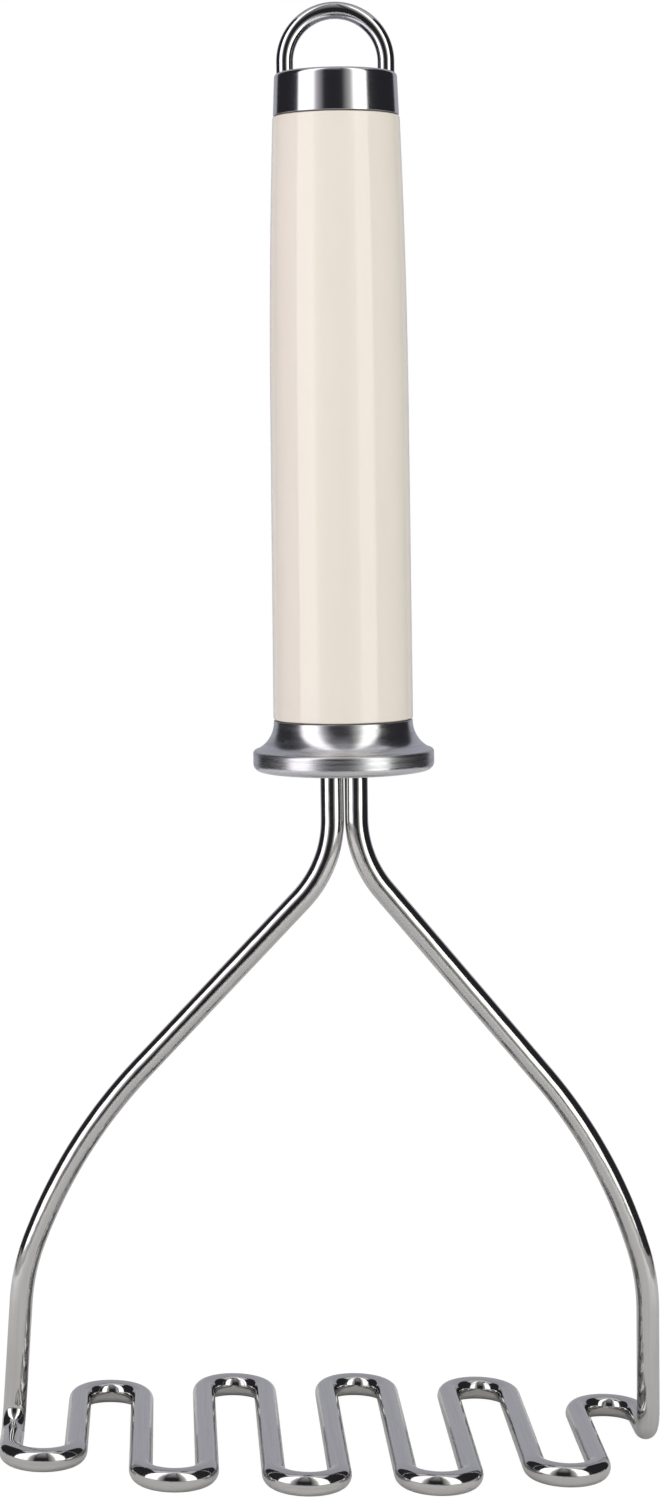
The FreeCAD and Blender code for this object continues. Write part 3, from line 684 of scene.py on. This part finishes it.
class MASHER_OT_handle_shell(bpy.types.Operator):
    """Turn the grip, nearly straight below the waist and drawn in by a long arc above it"""
    bl_idname = "masher.handle_shell"
    bl_label = "Handle Shell"

    def execute(self, context):
        sizes = context.scene.masher.handle
        colours = context.scene.masher.finish
        bottom, top = heights("handle_shell")
        bore, end = radii("handle_shell")
        height = top - bottom
        waist = sizes.waist_diameter / 2
        narrow = sizes.top_diameter / 2
        rise = height - sizes.waist_height
        slope = (end - waist) / sizes.waist_height
        drop = waist - narrow - slope * rise
        edge = sizes.grip_edge_round

        def side(up):
            """The grip's radius at a height: a straight cone, then a parabola that leaves it smoothly."""
            above = max(0.0, up - sizes.waist_height)
            return end - slope * up - drop * (above / rise) ** 2

        outline = arc(side(edge) - edge, edge, edge, -90, 0, steps=10)
        steps = 90
        for step in range(1, steps):
            up = edge + (height - 2 * edge) * step / steps
            outline.append((side(up), up))
        outline += arc(side(height - edge) - edge, height - edge, edge, 0, 90, steps=10)
        inner = sizes.edge_break
        outline += arc(bore + inner, height - inner, inner, 90, 180, steps=4)
        outline += arc(bore + inner, inner, inner, 180, 270, steps=4)
        finish = gloss_plastic("cream_plastic", colours.grip, colours.grip_roughness)
        shell = turned("grip_shell", outline, bottom, finish, sizes.segments)
        stand_for(shell, "handle_shell")
        return {"FINISHED"}


def foot_drill(name, across, radius, bottom, top):
    """A round bar along the handle's axis, to cut a foot's hole with."""
    steps = 48
    vertices = []
    for height in (bottom, top):
        for step in range(steps):
            turn = 2 * math.pi * step / steps
            spot = Vector((across + radius * math.cos(turn), radius * math.sin(turn), height))
            vertices.append(HANDLE_PLACE @ spot)
    faces = [(step, (step + 1) % steps, steps + (step + 1) % steps, steps + step) for step in range(steps)]
    faces += [tuple(range(steps))[::-1], tuple(range(steps, 2 * steps))]
    mesh = bpy.data.meshes.new(name)
    mesh.from_pydata(vertices, [], faces)
    return link_object(name, mesh)


class MASHER_OT_end_cap(bpy.types.Operator):
    """Turn the end cap and drill the two blind holes for the loop's feet"""
    bl_idname = "masher.end_cap"
    bl_label = "End Cap"

    def execute(self, context):
        sizes = context.scene.masher.handle
        colours = context.scene.masher.finish
        bottom, top = heights("end_cap")
        wide = radii("end_cap")[1]
        narrow = wide - sizes.cap_taper
        height = top - bottom
        bore = radii("handle_shell")[0]
        corner = sizes.edge_break
        crown = sizes.cap_top_round
        seat = sizes.cap_recess + sizes.stud_seat
        outline = [(0, seat), (sizes.stud_bore, seat), (sizes.stud_bore, sizes.cap_recess),
                   (bore, sizes.cap_recess), (bore, 0)]
        outline += arc(wide - corner, corner, corner, -90, 0, steps=6)
        outline += arc(narrow - crown, height - crown, crown, 0, 90, steps=12)
        outline += [(0, height)]
        finish = turned_metal("turned_cap", colours.turned, colours.cap_roughness, *TURNED_LINES)
        cap = turned("end_cap_top", outline, bottom, finish, sizes.segments, closed=False)
        foot, bow = heights("hanging_loop")
        half = radii("hanging_loop")[1] - sizes.rod_diameter / 2
        drills = []
        for side in (-1, 1):
            drill = foot_drill("foot_drill", side * half, sizes.rod_diameter / 2 + sizes.fit_gap,
                               foot - sizes.fit_gap, bow)
            cut = cap.modifiers.new("Foot hole", "BOOLEAN")
            cut.operation = "DIFFERENCE"
            cut.solver = "EXACT"
            cut.object = drill
            drills.append(drill)
        keep_result(cap)
        for drill in drills:
            bpy.data.objects.remove(drill)
        stand_for(cap, "end_cap")
        return {"FINISHED"}


class MASHER_OT_seals(bpy.types.Operator):
    """Turn the two thin seals that fill the seams at the grip's ends; their dark rubber also stands in for
    the seams' shadow lines, as painted shade
    """
    bl_idname = "masher.seals"
    bl_label = "Seals"

    def execute(self, context):
        sizes = context.scene.masher.handle
        # the seals' dark colour is partly their rubber and partly painted shade in the seams
        finish = matt_plastic("seal_rubber", context.scene.masher.finish.rubber_and_seam_shade, roughness=0.6, depth=4e-6)
        for node in ("collar_seal", "cap_seal"):
            bottom, top = heights(node)
            bore, edge = radii(node)
            height = top - bottom
            bulge = height / 2
            outline = [(bore, 0)]
            outline += arc(edge - bulge, bulge, bulge, -90, 90, steps=10)
            outline += [(bore, height)]
            seal = turned(f"{node}_ring", outline, bottom, finish, sizes.segments)
            stand_for(seal, node)
        return {"FINISHED"}


class MASHER_OT_inner_finishes(bpy.types.Operator):
    """Give the pieces inside the handle their finishes"""
    bl_idname = "masher.inner_finishes"
    bl_label = "Inner Finishes"

    def execute(self, context):
        colours = context.scene.masher.finish
        core = matt_plastic("core_plastic", colours.core, roughness=0.5, depth=8e-6)
        drawn = plain_metal("drawn_steel", colours.steel, roughness=0.28, scale=(2400, 2400, 70))
        ground = plain_metal("ground_steel", colours.steel, roughness=0.2, scale=(300, 300, 3000))
        brass = plain_metal("turned_brass", colours.brass, roughness=0.25, scale=(260, 260, 2800))
        finishes = {
            "handle_core": core,
            "shank_sleeve": drawn,
            "shank_pin": ground,
            "cap_stud": ground,
            "threaded_insert": brass,
        }
        for node, finish in finishes.items():
            mesh = frame["nodes"][node].data
            mesh.materials.clear()
            mesh.materials.append(finish)
        return {"FINISHED"}


# ------------------------------------------------------------------ the stage

# Bearings of a soft box from the camera, in degrees: its outer edge, its inner edge and where its spill ends.
LEFT_BOX = (-73, -42, -22)
RIGHT_BOX = (58, 31, 10)
LEFT_TINT = (1.0, 0.965, 0.99)
RIGHT_TINT = (0.985, 1.0, 0.94)
# How a box leans in above its foot, in shares of the reach and of its top.
BOX_LEAN = ((1.0, 0.6), (0.8, 0.82), (0.2, 1.0))
# How far a box's light holds before its inner edge, and how far past it the light has dropped to the spill.
BOX_HOLD = 0.04
BOX_DROP = 0.08

# The ceiling's width and depth are in shares of the reach, and its height in shares of the boxes' top.
CEILING_TINT = (0.99, 0.97, 1)
CEILING_LIGHT = 0.75
CEILING_STOPS = ((0.0, 0.08), (0.33, 0.26), (0.63, 0.48), (0.9, 1.0))
CEILING_RISE = 1.06
CEILING_HALF_WIDTH = 1.3
CEILING_DEPTH = (-3.0, 0.6)

# The backdrop from its foot up, away from the handle and up, in shares of the reach.
BACKDROP_PROFILE = ((1.0, 0.0), (1.05, 0.2), (1.1, 0.6), (1.1, 1.3), (1.0, 1.6), (0.85, 1.8), (0.6, 1.8))
BACKDROP_HALF_VIEW = math.radians(45)

# The paper's colour at the floor's rim and in its middle, as times its own: painted light at the rim and
# painted shade in the middle, for the metal to mirror. Then its glow for the camera and the share of shadow
# in that.
FLOOR_STEPS = 64
FLOOR_RIM_PAINTED_LIGHT = 1.22
FLOOR_MIDDLE_PAINTED_SHADE = 0.9
FLOOR_GLOW = 1.08
FLOOR_SHADOW = 0.1
LIP_START = -110
LIP_SWEEP = 220
# the lip's painted shade: the scales of its noise, and its darkest share of the paper's colour
LIP_PAINTED_SHADE_SCALE = (11, 0.3, 1)
LIP_PAINTED_SHADE = 0.5

# Each side lamp's name, bearing from the camera in degrees, height, size, watts and tint.
FILL_REACH = 0.8
FILLS = (
    ("front_fill", -12, 0.25, 0.5, 2.3, (1, 0.995, 0.985)),
    ("left_fill", -80, 0.3, 0.4, 2.25, (1, 0.99, 0.98)),
    ("right_fill", 80, 0.3, 0.4, 2.1, (1, 0.99, 0.98)),
)

SENSOR_WIDTH = 36
CLIP_START = 0.01


def stage_finish(name):
    """An empty material for the stage, with its output."""
    material = bpy.data.materials.new(name)
    material.use_nodes = True
    tree = material.node_tree
    tree.nodes.clear()
    return material, tree, add_node(tree, "ShaderNodeOutputMaterial")


def glowing(name, tint, light, direction="X", stops=()):
    """A glow. Stops, each a place from 0 to 1 and a share of the light, grade it across the UV map."""
    material, tree, output = stage_finish(name)
    glow = add_node(tree, "ShaderNodeEmission", {"Color": (*tint, 1), "Strength": light})
    tree.links.new(glow.outputs[0], output.inputs["Surface"])
    if stops:
        place = add_node(tree, "ShaderNodeSeparateXYZ", {0: add_node(tree, "ShaderNodeUVMap").outputs[0]})
        ramp = add_node(tree, "ShaderNodeValToRGB", {"Fac": place.outputs[direction]})
        elements = ramp.color_ramp.elements
        while len(elements) < len(stops):
            elements.new(1.0)
        for element, (position, level) in zip(elements, stops):
            element.position = position
            element.color = (level, level, level, 1)
        graded = add_node(tree, "ShaderNodeMath", {0: ramp.outputs["Color"], 1: light}, operation="MULTIPLY")
        tree.links.new(graded.outputs[0], glow.inputs["Strength"])
    return material


def stage_sheet(name, rows, finish):
    """A sheet of the stage through rows of points, which all have as many points."""
    width = len(rows[0])
    vertices = [point for row in rows for point in row]
    faces = []
    places = []
    for row in range(len(rows) - 1):
        for step in range(width - 1):
            corner = row * width + step
            faces.append((corner, corner + 1, corner + width + 1, corner + width))
            for across, up in ((step, row), (step + 1, row), (step + 1, row + 1), (step, row + 1)):
                places.extend((across / (width - 1), up / (len(rows) - 1)))
    mesh = bpy.data.meshes.new(name)
    mesh.from_pydata(vertices, [], faces)
    mesh.uv_layers.new(name="UVMap").data.foreach_set("uv", places)
    mesh.materials.append(finish)
    mesh.shade_smooth()
    made = link_object(name, mesh)
    return made


def bearing(azimuth, reach, height=0.0):
    """A point round the handle: azimuth 0 is straight in front, and positive is to the right."""
    return Vector((reach * math.sin(azimuth), -reach * math.cos(azimuth), height))


def soft_box(name, bearings, settings, tint):
    """A tall lit panel that stands beside the camera and leans in over the handle.

    Seen from the handle it is bright from the outer to the inner bearing, in degrees from the camera.
    From there its spill fades out to the third bearing.
    """
    outer, inner, spill = bearings
    edges = [settings.azimuth + math.radians(turn) for turn in (outer, spill)]
    bright = (inner - outer) / (spill - outer)
    stops = ((0.0, 1.0), (bright - BOX_HOLD, 1.0), (bright + BOX_DROP, settings.spill), (1.0, 0.0))
    reach = settings.reach
    top = settings.box_top
    profile = [(reach, settings.lip)] + [(reach * away, top * up) for away, up in BOX_LEAN]
    rows = [[bearing(edge, away, height) for edge in edges] for away, height in profile]
    panel = stage_sheet(name, rows, glowing(name, tint, settings.box_light, "X", stops))
    panel.visible_camera = False


def ceiling(settings, turn):
    """A pale sheet overhead, dimmer towards the camera, which the metal's upper sides mirror."""
    material = glowing("ceiling", CEILING_TINT, CEILING_LIGHT, "Y", CEILING_STOPS)
    top = settings.box_top * CEILING_RISE
    half = settings.reach * CEILING_HALF_WIDTH
    rows = [[turn @ Vector((side * half, settings.reach * away, top)) for side in (-1, 1)]
            for away in CEILING_DEPTH]
    sheet = stage_sheet("ceiling", rows, material)
    sheet.visible_camera = False


def lip_finish(tint):
    """Paper painted darker and lighter along its length by a noise: painted shade and light for the metal to
    mirror.
    """
    material, tree, output = stage_finish("paper_edge_painted_shade")
    place = add_node(tree, "ShaderNodeUVMap")
    # painted shade and light along the lip
    painted_shade = noise(tree, place.outputs[0], LIP_PAINTED_SHADE_SCALE, detail=2.0)
    paper = add_node(tree, "ShaderNodeBsdfDiffuse", {"Color": shade(tree, painted_shade, tint, LIP_PAINTED_SHADE, 1.0)})
    tree.links.new(paper.outputs[0], output.inputs["Surface"])
    return material


def floor_finish(tint):
    """Paper, with painted light towards its rim and painted shade in its middle. The camera sees it nearly
    white with a faint shadow, and nothing of it from below.
    """
    material, tree, output = stage_finish("paper")
    place = add_node(tree, "ShaderNodeSeparateXYZ", {0: add_node(tree, "ShaderNodeUVMap").outputs[0]})
    # painted light and shade: the paper's colour is lighter at the floor's rim and darker in its middle
    painted_falloff = shade(tree, place.outputs["Y"], tint, FLOOR_RIM_PAINTED_LIGHT, FLOOR_MIDDLE_PAINTED_SHADE)
    paper = add_node(tree, "ShaderNodeBsdfDiffuse", {"Color": painted_falloff})
    white = add_node(tree, "ShaderNodeEmission", {"Color": (1, 1, 1, 1), "Strength": FLOOR_GLOW})
    faint = add_node(tree, "ShaderNodeMixShader", {0: FLOOR_SHADOW, 1: white.outputs[0], 2: paper.outputs[0]})
    under = add_node(tree, "ShaderNodeNewGeometry").outputs["Backfacing"]
    clear = add_node(tree, "ShaderNodeBsdfTransparent")
    seen = add_node(tree, "ShaderNodeMixShader", {0: under, 1: faint.outputs[0], 2: clear.outputs[0]})
    ray = add_node(tree, "ShaderNodeLightPath").outputs["Is Camera Ray"]
    mixed = add_node(tree, "ShaderNodeMixShader", {0: ray, 1: paper.outputs[0], 2: seen.outputs[0]})
    tree.links.new(mixed.outputs[0], output.inputs["Surface"])
    return material


def set_world(dark):
    """A white surround for the camera and a dark studio for everything that mirrors it."""
    world = bpy.data.worlds.new("studio")
    world.use_nodes = True
    tree = world.node_tree
    tree.nodes.clear()
    ray = add_node(tree, "ShaderNodeLightPath").outputs["Is Camera Ray"]
    unlit = add_node(tree, "ShaderNodeBackground", {"Color": (*dark, 1)})
    white = add_node(tree, "ShaderNodeBackground", {"Color": (1, 1, 1, 1)})
    mixed = add_node(tree, "ShaderNodeMixShader", {0: ray, 1: unlit.outputs[0], 2: white.outputs[0]})
    add_node(tree, "ShaderNodeOutputWorld", {"Surface": mixed.outputs[0]})
    bpy.context.scene.world = world


def fill_light(name, place, aim, size, watts, tint):
    """A large soft lamp for the plastic and the paper, which the metal doesn't mirror."""
    data = bpy.data.lights.new(name, "AREA")
    data.shape = "SQUARE"
    data.size = size
    data.energy = watts
    data.color = tint
    lamp = link_object(name, data)
    lamp.location = place
    lamp.rotation_mode = "QUATERNION"
    lamp.rotation_quaternion = (aim - place).to_track_quat("-Z", "Y")
    lamp.visible_glossy = False
    lamp.visible_camera = False


def lay_floor(settings):
    """The round paper floor and its turned-up front edge."""
    reach = settings.reach
    paper = floor_finish(settings.floor_colour)
    rings = []
    for radius in (0.0, reach * 0.5, reach):
        rings.append([bearing(2 * math.pi * step / FLOOR_STEPS, radius) for step in range(FLOOR_STEPS + 1)])
    stage_sheet("floor", rings[::-1], paper)
    turns = [settings.azimuth + math.radians(LIP_START + LIP_SWEEP * step / FLOOR_STEPS)
             for step in range(FLOOR_STEPS + 1)]
    rows = [[bearing(turn, reach, height) for turn in turns] for height in (0.0, settings.lip)]
    lip = stage_sheet("front_lip", rows, lip_finish(settings.floor_colour))
    lip.visible_camera = False


def hang_backdrop(settings, turn):
    """A tall sheet behind the handle that leans forward at its top."""
    reach = settings.reach
    half = reach * math.tan(BACKDROP_HALF_VIEW)
    rows = [[turn @ Vector((side * half, reach * away, reach * up)) for side in (-1, 1)]
            for away, up in BACKDROP_PROFILE]
    backdrop = stage_sheet("backdrop", rows, glowing("backdrop", settings.backdrop_colour, 1.0))
    backdrop.visible_camera = False


def hang_fills(front):
    """One lamp overhead and the others round the handle."""
    fill_light("top_fill", place=Vector((0, -0.1, 0.8)), aim=Vector((0, 0, 0)), size=0.5, watts=0.84,
               tint=(1, 1, 1))
    middle = (CAD_BOX[0] + CAD_BOX[1]) / 2
    for name, turn, height, size, watts, tint in FILLS:
        fill_light(name, bearing(front + math.radians(turn), FILL_REACH, height), middle, size, watts, tint)


def set_camera(settings):
    """The camera, placed by its azimuth and elevation and turned by its roll."""
    data = bpy.data.cameras.new("camera")
    data.sensor_width = SENSOR_WIDTH
    data.lens = settings.focal_length
    camera = link_object("camera", data)
    level = math.cos(settings.elevation)
    back = bearing(settings.azimuth, level, math.sin(settings.elevation))
    aim = Vector((-settings.aim_across, 0, settings.aim_height))
    camera.location = aim + back * settings.distance
    camera.rotation_mode = "QUATERNION"
    camera.rotation_quaternion = (-back).to_track_quat("-Z", "Y") @ Quaternion((0, 0, 1), settings.roll)
    data.clip_start = CLIP_START
    bpy.context.scene.camera = camera


class MASHER_OT_stage(bpy.types.Operator):
    """Lay the pale floor, put up the soft boxes and the backdrop, and set the camera"""
    bl_idname = "masher.stage"
    bl_label = "Stage"

    def execute(self, context):
        settings = context.scene.masher.stage
        turn = Matrix.Rotation(settings.azimuth, 4, "Z")
        lay_floor(settings)
        hang_backdrop(settings, turn)
        soft_box("left_soft_box", LEFT_BOX, settings, LEFT_TINT)
        soft_box("right_soft_box", RIGHT_BOX, settings, RIGHT_TINT)
        ceiling(settings, turn)
        hang_fills(settings.azimuth)
        set_world(settings.studio_dark)
        set_camera(settings)
        context.scene.view_settings.view_transform = "Standard"
        return {"FINISHED"}


# ------------------------------------------------------------------ panel and registration

OPERATORS = (
    MASHER_OT_mashing_wire,
    MASHER_OT_hanging_loop,
    MASHER_OT_collar,
    MASHER_OT_handle_shell,
    MASHER_OT_end_cap,
    MASHER_OT_seals,
    MASHER_OT_inner_finishes,
    MASHER_OT_stage,
)


class MASHER_PT_build(bpy.types.Panel):
    """The masher's pieces and their sizes"""
    bl_label = "Wire Masher"
    bl_idname = "MASHER_PT_build"
    bl_space_type = "VIEW_3D"
    bl_region_type = "UI"
    bl_category = "Masher"

    def draw(self, context):
        layout = self.layout
        for operator in OPERATORS:
            layout.operator(operator.bl_idname)
        masher = context.scene.masher
        for group in (masher.wire, masher.handle, masher.finish, masher.stage):
            box = layout.box()
            for name in group.__annotations__:
                box.prop(group, name)


CLASSES = (
    MASHER_PG_wire,
    MASHER_PG_handle,
    MASHER_PG_finish,
    MASHER_PG_stage,
    MASHER_PG_settings,
    *OPERATORS,
    MASHER_PT_build,
)


def register():
    for kind in CLASSES:
        bpy.utils.register_class(kind)
    bpy.types.Scene.masher = PointerProperty(type=MASHER_PG_settings)


def unregister():
    del bpy.types.Scene.masher
    for kind in reversed(CLASSES):
        bpy.utils.unregister_class(kind)


def main():
    register()
    for operator in OPERATORS:
        group, name = operator.bl_idname.split(".")
        getattr(getattr(bpy.ops, group), name)()


if __name__ == "__main__":
    main()
